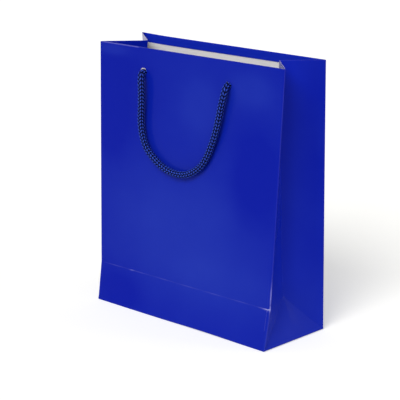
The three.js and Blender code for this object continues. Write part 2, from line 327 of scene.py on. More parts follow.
for kind, ring in rows:
    if kind in ("flap", "turn", "wall"):
        for i in np.flatnonzero(column_side == "front"):
            away = ring[i, 1] + half_depth if kind == "flap" else ring[i, 2]
            ring[i, 2] += edge_lift(ring[i, 0], away)
    # The mouth's back left corner has eased out, and the fold of its gusset in
    if kind in ("wall", "rim", "hem"):
        z = ring[0, 2]
        ease = np.clip((z - EASE_FOOT) / (RIM_HEIGHT - EASE_FOOT), 0, 1) ** 2
        for corner, move in ((5, BACK_LEFT_EASE), (6, LEFT_FOLD_EASE)):
            away = np.linalg.norm(ring[:, :2] - corners_at(z)[corner], axis=1)
            ring += (ease * np.exp(-((away / EASE_REACH) ** 2)))[:, None] * np.array(move)
points = twisted(np.concatenate([ring for _, ring in rows]))
flap_rows = [i for i, (kind, ring) in enumerate(rows) if kind == "flap"]
first_full_row = next(i for i in flap_rows if abs(rows[i][1][0, 0]) > half_width - half_depth - 1e-6)
first_wall_row = next(i for i, (kind, _) in enumerate(rows) if kind == "wall")
long_columns = np.isin(column_side, ["front", "back"])

# Gusset columns counted in from its two edges, upwards on its first half and as minus numbers on its second,
# for the mitre folds that cross the base band on a diagonal
column_step = np.zeros(column_count, int)
for side, first in (("right", "edge_fr"), ("left", "edge_bl")):
    start = np.flatnonzero(column_side == first)[-1]
    for k in range(1, gusset_count + 1):
        column_step[start + k] = k
        column_step[start + gusset_count + FOLD_STEPS + k] = -(BAND_ROWS - k)

faces, mitres = [], set()
for r in range(len(rows) - 1):
    band = r - first_wall_row + 1
    for c in range(column_count):
        d = (c + 1) % column_count
        side, next_side = column_side[c], column_side[d]
        if r < first_full_row and not (long_columns[c] and side == next_side):
            continue
        a, b = r * column_count + c, r * column_count + d
        f, e = a + column_count, b + column_count
        rising = falling = False
        if band == 0:
            rising = side in ("edge_fr", "edge_bl") and next_side in ("right", "left")
            falling = next_side in ("edge_br", "edge_fl") and side in ("right", "left")
        elif 0 < band < BAND_ROWS:
            rising = column_step[c] == band
            falling = column_step[d] == -band
        if rising:
            faces += [(a, b, e), (a, e, f)]
            mitres.add(tuple(sorted((a, e))))
        elif falling:
            faces += [(a, b, f), (b, e, f)]
            mitres.add(tuple(sorted((b, f))))
        else:
            faces.append((a, b, e, f))

# The lap: the sheet's other long edge, glued inside the back panel beside its right corner
LAP_ROWS, LAP_COLUMNS = 24, 4
lap_levels = np.linspace(LAP_FOOT, RIM_HEIGHT - LAP_TOP_GAP, LAP_ROWS)
lap_start = len(points)
lap_points = []
for z in lap_levels:
    reach = half_width - LAP_EDGE_GAP - LAP_EDGE_LEAN * z / RIM_HEIGHT
    for x in np.linspace(reach, half_width - LAP_WIDTH, LAP_COLUMNS):
        lap_points.append((x, back_line(z) - LAP_INSIDE, z))
points = np.concatenate([points, twisted(lap_points)])
for r in range(LAP_ROWS - 1):
    for c in range(LAP_COLUMNS - 1):
        a = lap_start + r * LAP_COLUMNS + c
        faces.append((a, a + 1, a + LAP_COLUMNS + 1, a + LAP_COLUMNS))

# How rubbed the film is along each upright fold, with a painted highlight in it along the front right fold:
# all along it, and more round a height, with its spread
FOLD_WEAR_AND_GLINT = {
    "edge_fr": (0.55, ((0.060, 0.014, 0.34), (BASE_CREASE, 0.003, 0.30))),
    "edge_fl": (0.30, ((0.012, 0.009, 0.35),)),
    "edge_br": (0.45, ()),
    "edge_bl": (0.45, ()),
}
# The same along the base crease, which wavers, and more round a place across the panel
CREASE_WEAR = {
    "front": (0.62, 0.06, 170, 0, ((-0.0775, 0.003, 0.30), (0.119, 0.006, 0.33))),
    "back": (0.52, 0.08, 140, 1, ((-0.119, 0.005, 0.30),)),
}
LINE_FOOT, LINE_TOP = 0.022, 0.078
ON_CREASE, ON_WORN_LINE = 0.0004, 0.0001
LINE_WEAR_BELOW_CREASE, LINE_WEAR = 0.8, 0.6
# Rubbed film along the rim, made paler towards the front's left end as a painted highlight, and bare paper at
# the right gusset's rim
RIM_WEAR, PALE_RIM_GLINT, BARE_RIM = 0.5, 0.75, 1.0
PALE_RIM_GLINT_END = -0.07
# Painted reflection under the rim on the left gusset: its strength, its depth and its fade
INNER_FOLD_GLINT, INNER_GLINT_DEPTH, INNER_GLINT_FADE = 0.965, 0.024, 0.006


def wear_and_glint_at(side, x, z):
    """How rubbed the film is at a place on the walls, with the painted highlights in it."""
    if side in FOLD_WEAR_AND_GLINT:
        along, spots = FOLD_WEAR_AND_GLINT[side]
        return along + sum(more * bell(z, height, spread) for height, spread, more in spots)
    if side in CREASE_WEAR and abs(z - BASE_CREASE) < ON_CREASE:
        along, waver, pace, start, spots = CREASE_WEAR[side]
        along += waver * math.sin(x * pace + start)
        return along + sum(more * bell(x, place, spread) for place, spread, more in spots)
    if side == "front" and abs(x - WORN_LINE) < ON_WORN_LINE and LINE_FOOT < z < LINE_TOP:
        return LINE_WEAR_BELOW_CREASE if z < BASE_CREASE else LINE_WEAR
    return 0


last_top_row = [i for i, (kind, _) in enumerate(rows) if kind == "rim"][OUTER_RIM_ROWS - 1]
rub_and_glint = np.zeros(len(points))
for r, (kind, ring) in enumerate(rows):
    for c, side in enumerate(column_side):
        x, z = ring[c, 0], ring[c, 2]
        first_half = column_step[c] > 0
        wear_and_glint = wear_and_glint_at(side, x, z) if kind in ("wall", "rim") else 0
        if kind == "rim" and r <= last_top_row:
            if side == "right" and first_half:
                wear_and_glint = BARE_RIM
            else:
                # Painted highlight: the front rim is painted paler towards its left end
                wear_and_glint = max(wear_and_glint, PALE_RIM_GLINT if side == "front" and x < PALE_RIM_GLINT_END else RIM_WEAR)
        # Painted reflection: the film of the left gusset's half beside the back panel is painted pale just
        # under the rim
        if kind != "flap" and side == "left" and first_half:
            below_rim = (z - RIM_HEIGHT + INNER_GLINT_DEPTH) / INNER_GLINT_FADE
            wear_and_glint = max(wear_and_glint, INNER_FOLD_GLINT * min(max(below_rim, 0), 1))
        rub_and_glint[r * column_count + c] = min(wear_and_glint, 1)

# Painted light: how much of the painted sheen patches each panel's film takes, and the painted light on the
# film beside the right gusset's fold and on the hem of the back panel
BACK_LIGHT = 0.6
# Painted light on the right gusset beside its fold, fading in above the base
PAINTED_LIGHT_FOOT, PAINTED_LIGHT_RISE = 0.035, 0.03
GUSSET_PAINTED_LIGHT, PAINTED_LIGHT_FROM_STEP, PAINTED_LIGHT_STEPS = 0.32, 3, 5
steps_in = np.where(column_side == "right", np.abs(column_step), 0)
steps_in[column_side == "fold_r"] = BAND_ROWS
painted_sheen_share = np.where(np.isin(column_side, ["front", "edge_fl"]), 1.0, 0.0)
painted_sheen_share[column_side == "back"] = BACK_LIGHT
painted_sheen_face, painted_light = np.zeros(len(points)), np.zeros(len(points))
for r, (kind, ring) in enumerate(rows):
    columns = slice(r * column_count, (r + 1) * column_count)
    painted_sheen_face[columns] = painted_sheen_share
    above_base = np.clip((ring[:, 2] - PAINTED_LIGHT_FOOT) / PAINTED_LIGHT_RISE, 0, 1)
    beside_fold = np.clip((steps_in - PAINTED_LIGHT_FROM_STEP) / PAINTED_LIGHT_STEPS, 0, 1)
    painted_light[columns] = GUSSET_PAINTED_LIGHT * beside_fold * above_base
    # The back panel's hem takes the full painted light
    if kind == "hem" or (kind == "rim" and r > last_top_row):
        painted_light[columns][column_side == "back"] = 1

paper_mesh = bpy.data.meshes.new("printed_sheet")
paper_mesh.from_pydata(points.tolist(), [], faces)
for name, values in (("rub_and_glint", rub_and_glint), ("painted_sheen_face", painted_sheen_face), ("painted_light", painted_light)):
    held = paper_mesh.attributes.new(name, "FLOAT", "POINT")
    held.data.foreach_set("value", values.astype(np.float32))
sharp = paper_mesh.attributes.new("sharp_edge", "BOOLEAN", "EDGE")
sharp.data.foreach_set("value", [tuple(sorted(edge.vertices)) in mitres for edge in paper_mesh.edges])
paper = bpy.data.objects.new("printed_sheet", paper_mesh)
bpy.context.collection.objects.link(paper)


def only(piece):
    """Leaves one piece selected and active, as a click on it would."""
    bpy.ops.object.select_all(action="DESELECT")
    piece.select_set(True)
    bpy.context.view_layer.objects.active = piece


def punch_holes(piece, panel_line, material):
    """Punches the two handle holes of a panel square through a piece."""
    turn = MOUTH_TWIST * HOLE_HEIGHT / RIM_HEIGHT
    for place in HOLE_PLACES:
        bpy.ops.mesh.primitive_cylinder_add(
            vertices=PUNCH_SIDES,
            radius=HOLE_RADIUS,
            depth=PUNCH_LENGTH,
            location=twisted([(place, panel_line(HOLE_HEIGHT), HOLE_HEIGHT)])[0],
            rotation=(math.pi / 2, 0, turn),
        )
        punch = bpy.context.object
        punch.data.materials.append(material)
        only(piece)
        cut = piece.modifiers.new("punch", "BOOLEAN")
        cut.object = punch
        cut.operation = "DIFFERENCE"
        cut.solver = "EXACT"
        cut.material_mode = "TRANSFER"
        bpy.ops.object.modifier_apply(modifier=cut.name)
        bpy.data.objects.remove(punch)


class Wire:
    """A shader socket that takes part in Python sums; each sum adds its Math node."""

    def __init__(self, finish, socket):
        self.finish, self.socket = finish, socket

    def sum(self, operation, first, second):
        return self.finish.node("ShaderNodeMath", {"operation": operation}, {0: first, 1: second})

    def __add__(self, other):
        return self.sum("ADD", self, other)

    def __sub__(self, other):
        return self.sum("SUBTRACT", self, other)

    def __rsub__(self, other):
        return self.sum("SUBTRACT", other, self)

    def __mul__(self, other):
        return self.sum("MULTIPLY", self, other)

    def __truediv__(self, other):
        return self.sum("DIVIDE", self, other)

    def __rtruediv__(self, other):
        return self.sum("DIVIDE", other, self)

    def __pow__(self, other):
        return self.sum("POWER", self, other)

    __radd__, __rmul__ = __add__, __mul__


class Finish:
    """The nodes of a material or a world: node() adds any node and gives one of its outputs as a Wire."""

    def __init__(self, owner):
        self.owner = owner
        owner.use_nodes = True
        self.nodes, self.links = owner.node_tree.nodes, owner.node_tree.links
        self.nodes.clear()

    def node(self, kind, settings=None, sockets=None, out=0):
        made = self.nodes.new(kind)
        for name, value in (settings or {}).items():
            setattr(made, name, value)
        for name, value in (sockets or {}).items():
            if isinstance(value, Wire):
                self.links.new(value.socket, made.inputs[name])
            else:
                made.inputs[name].default_value = value
        return Wire(self, made.outputs[out]) if made.outputs else None

    def mix(self, share, first, second):
        return self.node("ShaderNodeMix", {"data_type": "RGBA"}, {0: share, 6: first, 7: second}, out=2)

    def step(self, value, low, high):
        settings = {"interpolation_type": "SMOOTHSTEP"}
        return self.node("ShaderNodeMapRange", settings, {"Value": value, "From Min": low, "From Max": high})

    def speckle(self, place, size, detail=3.0):
        return self.node("ShaderNodeTexNoise", None, {"Vector": place, "Scale": 1 / size, "Detail": detail})

    def bump(self, height, strength, distance):
        sockets = {"Height": height, "Strength": strength, "Distance": distance}
        return self.node("ShaderNodeBump", None, sockets)

    def surface(self, sockets):
        shader = self.node("ShaderNodeBsdfPrincipled", None, sockets)
        self.node("ShaderNodeOutputMaterial", None, {"Surface": shader})
        return self.owner


# Soft patches of painted highlight and painted shade in the film of a panel: strength, place across and up,
# width and height
PAINTED_SHEEN_PATCHES = (
    (0.62, -0.004, 0.104, 0.100, 0.068),
    (0.50, 0.020, 0.246, 0.030, 0.030),
    (0.55, 0.086, 0.272, 0.028, 0.020),
    (0.50, -0.102, 0.293, 0.020, 0.006),
    (0.30, 0.060, 0.060, 0.080, 0.025),
    (-0.35, 0.095, 0.170, 0.030, 0.055),
    (-0.40, -0.105, 0.225, 0.030, 0.060),
    (-0.30, -0.095, 0.020, 0.035, 0.022),
)
# Painted sheen: a base amount on the panels, and on the gussets and the back a little, rising to more towards
# the base
PANEL_PAINTED_SHEEN, SIDE_PAINTED_SHEEN, LOW_PAINTED_SHEEN, LOW_SHEEN_REACH = 0.16, 0.04, 0.45, 0.05
CLOUD_SIZE, FRAY_SIZE, SMEAR_SIZE, PEEL_SIZE = 0.06, 0.0016, 0.035, 0.0012
CLOUD_SHARE = 0.5
FRAY_LEAST, FRAY_SHARE = 0.7, 0.6
WEAR_AND_GLINT_FROM, WEAR_AND_GLINT_FULL, BARE_AND_GLINT_FROM = 0.04, 0.95, 0.93
FILM_ROUGHNESS, SMEAR_ROUGHNESS, WORN_ROUGHNESS = 0.17, 0.08, 0.3
FILM_SHINE = 0.06
PEEL_STRENGTH, PEEL_HEIGHT = 0.05, 0.0002


def blue_print():
    """Blue print under gloss film, with painted sheen, painted shade and painted light, and whitened where
    the film is rubbed at the folds and rims, with painted highlights and a painted reflection among them.
    """
    f = Finish(bpy.data.materials.new("blue_print_under_film"))
    place = f.node("ShaderNodeTexCoord", out="Object")
    x = f.node("ShaderNodeSeparateXYZ", None, {0: place}, out="X")
    z = f.node("ShaderNodeSeparateXYZ", None, {0: place}, out="Z")
    painted_sheen_share = f.node("ShaderNodeAttribute", {"attribute_name": "painted_sheen_face"}, out="Fac")
    panel_painted_sheen = PANEL_PAINTED_SHEEN
    for strength, across, up, wide, high in PAINTED_SHEEN_PATCHES:
        away = ((x - across) / wide) ** 2 + ((z - up) / high) ** 2
        panel_painted_sheen = panel_painted_sheen + strength / (1 + away * away)
    # Painted sheen on the gussets and the back, lighter towards the base
    side_painted_sheen = SIDE_PAINTED_SHEEN + LOW_PAINTED_SHEEN / (1 + (z / LOW_SHEEN_REACH) ** 2)
    cloud = f.speckle(place, CLOUD_SIZE, 3.0)
    # Painted sheen from the panels' patches and from the gussets, with random mottle in the print
    sheen_and_mottle = painted_sheen_share * panel_painted_sheen + (1 - painted_sheen_share) * side_painted_sheen + CLOUD_SHARE * (cloud - 0.5)
    sheen_and_mottle = f.node("ShaderNodeClamp", None, {"Value": sheen_and_mottle})
    # Painted light beside the right gusset's fold and on the back panel's hem
    painted_light = f.node("ShaderNodeAttribute", {"attribute_name": "painted_light"}, out="Fac")
    blue = f.mix(painted_light, f.mix(sheen_and_mottle, PRINT_BLUE, PAINTED_SHEEN_BLUE), PAINTED_LIGHT_BLUE)
    rub_and_glint_share = f.node("ShaderNodeAttribute", {"attribute_name": "rub_and_glint"}, out="Fac")
    fray = f.speckle(place, FRAY_SIZE, 4.0)
    # Rubbed film and bare paper at folds and rims, with painted highlights and a painted reflection among
    # them
    worn_and_glint = f.step(rub_and_glint_share ** 3.0 * (FRAY_LEAST + FRAY_SHARE * fray), WEAR_AND_GLINT_FROM, WEAR_AND_GLINT_FULL)
    bare_and_glint = f.step(rub_and_glint_share, BARE_AND_GLINT_FROM, 1.0)
    color = f.mix(bare_and_glint, f.mix(worn_and_glint, blue, RUB_AND_GLINT_FILM), BARE_PAPER)
    smear = f.speckle(place, SMEAR_SIZE, 4.0)
    rough = FILM_ROUGHNESS + SMEAR_ROUGHNESS * smear + WORN_ROUGHNESS * worn_and_glint
    peel = f.speckle(place, PEEL_SIZE, 2.0)
    return f.surface(
        {
            "Base Color": color,
            "Roughness": rough,
            "Specular IOR Level": FILM_SHINE,
            "Normal": f.bump(peel, PEEL_STRENGTH, PEEL_HEIGHT),
        }
    )


FIBRE_SIZE, PULP_SIZE, PULP_SHADE = 0.0009, 0.03, 0.93
FIBRE_SHARE, SHADE_FROM, SHADE_FULL = 0.6, 0.3, 0.7
PAPER_ROUGHNESS, FIBRE_ROUGHNESS, PAPER_SHINE = 0.75, 0.1, 0.3
FIBRE_STRENGTH, FIBRE_HEIGHT = 0.25, 0.0002


def bare_paper(name, tint):
    """Uncoated paper: fine fibres and a slightly uneven white."""
    f = Finish(bpy.data.materials.new(name))
    place = f.node("ShaderNodeTexCoord", out="Object")
    fibre = f.speckle(place, FIBRE_SIZE, 6.0)
    cloud = f.speckle(place, PULP_SIZE, 3.0)
    shade = f.step(FIBRE_SHARE * fibre + (1 - FIBRE_SHARE) * cloud, SHADE_FROM, SHADE_FULL)
    darker = (*[PULP_SHADE * channel for channel in tint[:3]], 1)
    return f.surface(
        {
            "Base Color": f.mix(shade, darker, tint),
            "Roughness": PAPER_ROUGHNESS + FIBRE_ROUGHNESS * fibre,
            "Specular IOR Level": PAPER_SHINE,
            "Normal": f.bump(fibre, FIBRE_STRENGTH, FIBRE_HEIGHT),
        }
    )


cut_edge = bare_paper("cut_paper_edge", CUT_PAPER)
for material in (blue_print(), bare_paper("white_side_of_sheet", BARE_PAPER), cut_edge):
    paper.data.materials.append(material)
only(paper)
thickness = paper.modifiers.new("thickness", "SOLIDIFY")
thickness.thickness = PAPER
thickness.offset = -1
thickness.use_even_offset = True
thickness.material_offset = 1
thickness.material_offset_rim = 2
bpy.ops.object.modifier_apply(modifier=thickness.name)
punch_holes(paper, front_line, cut_edge)
punch_holes(paper, back_line, cut_edge)

# The punch left a lip of torn paper round part of two holes: its start and end in degrees, and its width
TORN_LIPS = (
    (front_line, -1, HOLE_PLACES[0], 40, 200, 0.0013),
    (back_line, 1, HOLE_PLACES[1], 30, 150, 0.0010),
)
LIP_INSIDE = 0.0005
LIP_STEPS, LIP_AROUND = 30, 10
LIP_TIP, LIP_ROUND, LIP_RAGGED = 0.02, 0.6, 0.25
LIP_HALF_WIDTH, LIP_PROUD, LIP_RAISED = 0.5, 0.4, 0.6
SHEET_SHARP_ABOVE = math.radians(42)


def tube_faces(rings, around):
    """Four-sided faces between the rings of a tube."""
    faces = []
    for r in range(rings - 1):
        for k in range(around):
            a, b = r * around + k, r * around + (k + 1) % around
            faces.append((a, b, b + around, a + around))
    return faces


torn_paper = bare_paper("torn_paper", TORN_PAPER)
around = np.arange(LIP_AROUND) * 2 * math.pi / LIP_AROUND
last_ring = range((LIP_STEPS - 1) * LIP_AROUND, LIP_STEPS * LIP_AROUND)
lip_faces = [tuple(range(LIP_AROUND)), tuple(reversed(last_ring)), *tube_faces(LIP_STEPS, LIP_AROUND)]
for panel_line, outward, place, start, end, width in TORN_LIPS:
    lip_points = []
    for t in np.linspace(LIP_TIP, 1 - LIP_TIP, LIP_STEPS):
        angle = math.radians(start + (end - start) * t)
        ragged = 1 + LIP_RAGGED * math.sin(17 * t) * math.sin(5 * t)
        swell = width * math.sin(math.pi * t) ** LIP_ROUND * ragged
        radial = HOLE_RADIUS - LIP_INSIDE + LIP_HALF_WIDTH * swell * np.cos(around)
        proud = LIP_PROUD * swell * (LIP_RAISED + np.sin(around))
        x, z = place + radial * math.cos(angle), HOLE_HEIGHT + radial * math.sin(angle)
        lip_points.append(np.stack([x, panel_line(z) + outward * proud, z], axis=1))
    lip_mesh = bpy.data.meshes.new("torn_lip")
    lip_mesh.from_pydata(twisted(np.concatenate(lip_points)).tolist(), [], lip_faces)
    lip_mesh.materials.append(torn_paper)
    lip = bpy.data.objects.new("torn_lip", lip_mesh)
    bpy.context.collection.objects.link(lip)
    only(lip)
    bpy.ops.object.mode_set(mode="EDIT")
    bpy.ops.mesh.select_all(action="SELECT")
    bpy.ops.mesh.normals_make_consistent(inside=False)
    bpy.ops.object.mode_set(mode="OBJECT")
    paper.select_set(True)
    bpy.context.view_layer.objects.active = paper
    bpy.ops.object.join()
only(paper)
bpy.ops.object.shade_smooth_by_angle(angle=SHEET_SHARP_ABOVE, keep_sharp_edges=True)
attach(paper, "root")
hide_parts("folded_sheet")

# The rim boards. A strip of pale board is glued inside each large panel with its top edge tucked under
# the hem, and it is punched together with the panel so that the knots bear on it.
BOARD_HEIGHT = 0.045
BOARD_THICKNESS = 0.0008
BOARD_END_GAP = 0.006
BOARD_GAP = 0.0003
BOARD_COLOR = (0.94, 0.92, 0.90, 1)
BOARD_SHARP_ABOVE = math.radians(40)
SAME_HEIGHT = 1e-5

pale_board = bare_paper("pale_rim_board", BOARD_COLOR)
for name, node, wall, inward in (
    ("front_rim_strip", "front_rim_board", front_line, 1),
    ("back_rim_strip", "back_rim_board", back_line, -1),
):
    top = RIM_HEIGHT - PAPER - BOARD_GAP
    bottom = RIM_HEIGHT - BOARD_HEIGHT
    middle = (top + bottom) / 2
    bpy.ops.object.select_all(action="DESELECT")
    bpy.ops.mesh.primitive_grid_add(x_subdivisions=48, y_subdivisions=6, size=1)
    board = bpy.context.object
    board.name = name
    bpy.ops.object.mode_set(mode="EDIT")
    bpy.ops.transform.resize(value=(PANEL_WIDTH - 2 * BOARD_END_GAP, top - bottom, 1))
    bpy.ops.transform.rotate(value=-math.pi / 2, orient_axis="X", center_override=(0, 0, 0))
    bpy.ops.object.mode_set(mode="OBJECT")
    # Each level row of the upright strip is set against the leaning, twisted panel
    for level in sorted({round(v.co.z, 5) for v in board.data.vertices}):
        z = middle + level
        for part in (*board.data.edges, *board.data.polygons):
            part.select = False
        for v in board.data.vertices:
            v.select = abs(v.co.z - level) < SAME_HEIGHT and abs(v.co.y) < SAME_HEIGHT
        bpy.ops.object.mode_set(mode="EDIT")
        bpy.ops.mesh.select_mode(type="VERT")
        bpy.ops.transform.translate(value=(0, wall(z) + inward * (PAPER + BOARD_GAP), 0))
        turn = -MOUTH_TWIST * z / RIM_HEIGHT
        bpy.ops.transform.rotate(value=turn, orient_axis="Z", center_override=(0, 0, 0))
        bpy.ops.object.mode_set(mode="OBJECT")
    bpy.ops.object.mode_set(mode="EDIT")
    bpy.ops.mesh.select_all(action="SELECT")
    bpy.ops.transform.translate(value=(0, 0, middle))
    bpy.ops.object.mode_set(mode="OBJECT")
    board.data.materials.append(pale_board)
    only(board)
    thick = board.modifiers.new("thickness", "SOLIDIFY")
    thick.thickness = BOARD_THICKNESS
    thick.offset = -inward
    bpy.ops.object.modifier_apply(modifier=thick.name)
    punch_holes(board, wall, pale_board)
    only(board)
    bpy.ops.object.shade_smooth_by_angle(angle=BOARD_SHARP_ABOVE)
    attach(board, "root")
    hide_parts(node)

# The base board. A rectangle of grey-white board, cut a little smaller than the base, lies loose on the
# glued flaps and keeps them flat.
BASE_BOARD_COLOR = (0.62, 0.59, 0.565, 1)
PRESSED_EDGE = 0.00015

low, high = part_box("base_board")
bpy.ops.object.select_all(action="DESELECT")
bpy.ops.mesh.primitive_grid_add(x_subdivisions=40, y_subdivisions=16, size=1, location=(0, 0, low.z))
base = bpy.context.object
base.name = "base_card"
bpy.ops.object.mode_set(mode="EDIT")
bpy.ops.transform.resize(value=(high.x - low.x, high.y - low.y, 1))
bpy.ops.object.mode_set(mode="OBJECT")
bpy.ops.object.transform_apply(location=True, rotation=True, scale=True)
base.data.materials.append(bare_paper("grey_white_base_board", BASE_BOARD_COLOR))
only(base)
thick = base.modifiers.new("thickness", "SOLIDIFY")
thick.thickness = high.z - low.z
thick.offset = 1
bpy.ops.object.modifier_apply(modifier=thick.name)
soft_edge = base.modifiers.new("pressed_edge", "BEVEL")
soft_edge.width = PRESSED_EDGE
soft_edge.segments = 2
bpy.ops.object.modifier_apply(modifier=soft_edge.name)
bpy.ops.object.shade_smooth_by_angle(angle=BOARD_SHARP_ABOVE)
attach(base, "root")
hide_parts("base_board")

# The handles. A navy cord of braided fibre hangs in a loop outside each panel. Its ends go in through the
# punched holes and are tied in overhand knots that bear on the rim board.
CORD_DIAMETER = 0.0072
KNOT_FACE = PAPER + BOARD_GAP + BOARD_THICKNESS + BOARD_GAP
TAIL = 0.006
CORD_DROP = {-1: 0.0007, 1: -0.0005}  # below the middle of the left and the right hole
# Place across between the holes, fall below them and gap to the panel, in metres
LOOP = [
    (-0.995, 0.0017, 0.0002), (-0.975, 0.0055, 0.0026), (-0.957, 0.0115, 0.0038), (-0.947, 0.0205, 0.0038),
    (-0.950, 0.0365, 0.0034), (-0.960, 0.0525, 0.0028), (-0.940, 0.0635, 0.0026), (-0.888, 0.0745, 0.0022),
    (-0.810, 0.0830, 0.0018), (-0.647, 0.0920, 0.0014), (-0.457, 0.0990, 0.0011), (-0.250, 0.1030, 0.0010),
    (-0.052, 0.1042, 0.0010), (0.141, 0.1028, 0.0010), (0.331, 0.0980, 0.0010), (0.517, 0.0895, 0.0012),
    (0.670, 0.0760, 0.0016), (0.750, 0.0655, 0.0022), (0.815, 0.0560, 0.0026), (0.860, 0.0470, 0.0030),
    (0.910, 0.0355, 0.0034), (0.957, 0.0220, 0.0038), (0.995, 0.0120, 0.0038), (1.010, 0.0055, 0.0026),
    (1.005, 0.0017, 0.0002),
]
# Half of a tight overhand knot in cord diameters: towards the hole, across and up. The other half is the
# same turned half round.
HALF_KNOT = [
    (0.12, -0.49, 0.90), (0.18, -0.96, 0.76), (0.12, -1.33, 0.44), (-0.04, -1.50, 0.0), (-0.25, -1.43, -0.44),
    (-0.45, -1.13, -0.78), (-0.58, -0.68, -0.94), (-0.59, -0.19, -0.89), (-0.46, 0.22, -0.65),
    (-0.19, 0.46, -0.31), (0.22, 0.53, -0.04), (0.64, 0.68, 0.18), (1.06, 0.85, 0.39),
]
KNOT_DEPTH = 1.12
CURVE_STEPS = 40
KNOT_TURNS = {("front", -1): 0.18, ("front", 1): -0.12, ("back", -1): -0.15, ("back", 1): 0.08}
CORD_AROUND = 56
RING_STEP = 0.00055
STITCH_COLUMNS = 8
STITCH_LENGTH = 0.0038
STITCH_SLANT = 0.9
STITCH_DEPTH = 0.0009
STITCH_LEVEL = 0.64
STITCH_ROUND, STITCH_GAP = 0.97, 0.8
END_TAPER, TIP_SIZE = 0.0012, 0.02
THREADS, THREAD_SLANT = 26.0, 0.5  # threads in 2 pi mm across a strand, and their lean
FUZZ_SIZE = 0.0008
THREAD_SHARE, FUZZ_SHARE, LIT_FROM, LIT_FULL = 0.10, 0.25, 0.50, 0.95
CORD_ROUGHNESS, CORD_SHEEN, CORD_SHINE = 0.60, 0.18, 0.03
THREAD_STRENGTH, THREAD_HEIGHT = 0.25, 0.0002
MM_IN_A_METRE = 1000
# The cord's painted shade between the stitches, and its navy on the stitch tops
CORD_SHADE = (0.0010, 0.0016, 0.022, 1)
CORD_NAVY = (0.038, 0.090, 0.60, 1)

hole_middle, hole_reach = sum(HOLE_PLACES) / 2, (HOLE_PLACES[1] - HOLE_PLACES[0]) / 2


def beside_panel(panel, across, z, outside):
    y = front_line(z) - outside if panel == "front" else back_line(z) + outside
    return twisted([(across, y, z)])[0]


def knot_points(panel, place):
    """The path of a knot from the end of its tail to the hole."""
    across = hole_middle + place * hole_reach
    hole = beside_panel(panel, across, HOLE_HEIGHT - CORD_DROP[place], -KNOT_FACE)
    out = beside_panel(panel, across, HOLE_HEIGHT, 0.01) - beside_panel(panel, across, HOLE_HEIGHT, 0)
    out /= np.linalg.norm(out)
    turn = KNOT_TURNS[panel, place]
    level = np.cross(out, (0, 0, 1))
    wide = math.cos(turn) * level + math.sin(turn) * np.array((0, 0, 1))
    up = np.cross(wide, out)
    path = [(-a, -b, c) for a, b, c in reversed(HALF_KNOT)] + [(0, 0, 0.91)] + HALF_KNOT
    tail_end = (path[0][0] - TAIL / CORD_DIAMETER, *path[0][1:])
    path = np.array([tail_end, *path])
    local = (path - (KNOT_DEPTH, *path[-1][1:])) * CORD_DIAMETER
    return [hole + p[0] * out + p[1] * wide + p[2] * up for p in local]


def through_points(points, step):
    """Points at even steps along the smooth curve through the given ones."""
    p = np.array(points)
    p = np.concatenate([[2 * p[0] - p[1]], p, [2 * p[-1] - p[-2]]])
    fine = []
    for a, b, c, d in zip(p, p[1:], p[2:], p[3:]):
        t = np.cumsum([0, *[math.sqrt(np.linalg.norm(v - u)) for u, v in ((a, b), (b, c), (c, d))]])
        s = np.linspace(t[1], t[2], CURVE_STEPS, endpoint=False)[:, None]
        ab = (t[1] - s) / (t[1] - t[0]) * a + (s - t[0]) / (t[1] - t[0]) * b
        bc = (t[2] - s) / (t[2] - t[1]) * b + (s - t[1]) / (t[2] - t[1]) * c
        cd = (t[3] - s) / (t[3] - t[2]) * c + (s - t[2]) / (t[3] - t[2]) * d
        abc = (t[2] - s) / (t[2] - t[0]) * ab + (s - t[0]) / (t[2] - t[0]) * bc
        bcd = (t[3] - s) / (t[3] - t[1]) * bc + (s - t[1]) / (t[3] - t[1]) * cd
        fine.append((t[2] - s) / (t[2] - t[1]) * abc + (s - t[1]) / (t[2] - t[1]) * bcd)
    fine = np.concatenate([*fine, p[-2:-1]])
    run = np.concatenate([[0], np.cumsum(np.linalg.norm(np.diff(fine, axis=0), axis=1))])
    marks = np.linspace(0, run[-1], int(run[-1] / step) + 1)
    return np.stack([np.interp(marks, run, fine[:, axis]) for axis in range(3)], axis=1), run[-1]


def braided_fibre():
    """Navy fibre: painted shade between the stitches and full navy on their tops, with a soft sheen along the
    strands.
    """
    f = Finish(bpy.data.materials.new("navy_braided_fibre"))
    stitch = f.node("ShaderNodeAttribute", {"attribute_name": "stitch"}, out="Fac")
    strand = f.node("ShaderNodeAttribute", {"attribute_name": "strand"}, out="Fac")
    place = f.node("ShaderNodeTexCoord", out="Object")
    thread = f.node("ShaderNodeMath", {"operation": "SINE"}, {0: strand * THREADS})
    fuzz = f.speckle(place, FUZZ_SIZE, 3.0)
    lit = f.step(stitch + THREAD_SHARE * thread + FUZZ_SHARE * (fuzz - 0.5), LIT_FROM, LIT_FULL)
    return f.surface(
        {
            "Base Color": f.mix(lit, CORD_SHADE, CORD_NAVY),
            "Roughness": CORD_ROUGHNESS - CORD_SHEEN * lit,
            "Specular IOR Level": CORD_SHINE,
            "Normal": f.bump(thread + fuzz, THREAD_STRENGTH, THREAD_HEIGHT),
        }
    )


